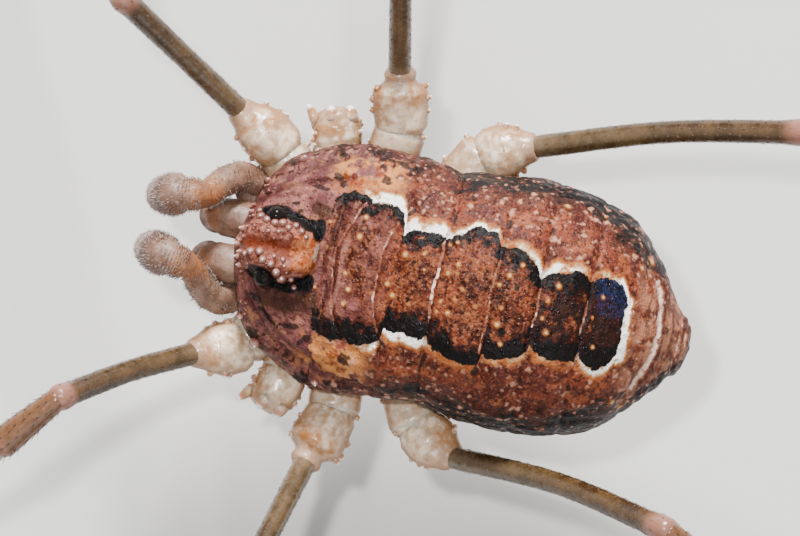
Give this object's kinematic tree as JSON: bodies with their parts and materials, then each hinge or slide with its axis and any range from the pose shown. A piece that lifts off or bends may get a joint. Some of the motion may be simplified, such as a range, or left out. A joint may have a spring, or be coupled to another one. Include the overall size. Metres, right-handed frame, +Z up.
{
  "type": "harvestman",
  "caption": "Life-size model of a harvestman with a patterned oval body and long bent legs, standing still as in a museum case.",
  "frame": {"origin": "middle of the animal's footprint, on the floor plane", "axes": "+Z up, -Y the way the animal faces, +X its left side"},
  "size_m": [0.0316, 0.031, 0.0067],
  "materials": {
    "trunk": "satin, mottled brown with cream and black markings",
    "eye_mound": "satin, orange brown with black sides",
    "eye": "glossy black",
    "pale_limb": "satin, translucent cream with orange tints",
    "leg": "satin, grey brown with dark dots"
  },
  "bodies": {
    "root": {"chelicera_left": "pale_limb", "chelicera_right": "pale_limb", "eye_left": "eye", "eye_right": "eye", "leg_1_left_coxa": "pale_limb", "leg_1_left_femur": "leg", "leg_1_left_metatarsus": "leg", "leg_1_left_patella": "leg", "leg_1_left_tarsus": "leg", "leg_1_left_tibia": "leg", "leg_1_left_trochanter": "pale_limb", "leg_1_right_coxa": "pale_limb", "leg_1_right_femur": "leg", "leg_1_right_metatarsus": "leg", "leg_1_right_patella": "leg", "leg_1_right_tarsus": "leg", "leg_1_right_tibia": "leg", "leg_1_right_trochanter": "pale_limb", "leg_2_left_coxa": "pale_limb", "leg_2_left_trochanter": "pale_limb", "leg_2_right_coxa": "pale_limb", "leg_2_right_trochanter": "pale_limb", "leg_3_left_coxa": "pale_limb", "leg_3_left_femur": "leg", "leg_3_left_metatarsus": "leg", "leg_3_left_patella": "leg", "leg_3_left_tarsus": "leg", "leg_3_left_tibia": "leg", "leg_3_left_trochanter": "pale_limb", "leg_3_right_coxa": "pale_limb", "leg_3_right_femur": "leg", "leg_3_right_metatarsus": "leg", "leg_3_right_patella": "leg", "leg_3_right_tarsus": "leg", "leg_3_right_tibia": "leg", "leg_3_right_trochanter": "pale_limb", "leg_4_left_coxa": "pale_limb", "leg_4_left_femur": "leg", "leg_4_left_metatarsus": "leg", "leg_4_left_patella": "leg", "leg_4_left_tarsus": "leg", "leg_4_left_tibia": "leg", "leg_4_left_trochanter": "pale_limb", "leg_4_right_coxa": "pale_limb", "leg_4_right_femur": "leg", "leg_4_right_metatarsus": "leg", "leg_4_right_patella": "leg", "leg_4_right_tarsus": "leg", "leg_4_right_tibia": "leg", "leg_4_right_trochanter": "pale_limb", "ocularium": "eye_mound", "opisthosoma": "trunk", "palp_left_femur": "pale_limb", "palp_left_tarsus": "pale_limb", "palp_left_tibia": "pale_limb", "palp_right_femur": "pale_limb", "palp_right_tarsus": "pale_limb", "palp_right_tibia": "pale_limb", "prosoma": "trunk"}
  },
  "joints": []
}
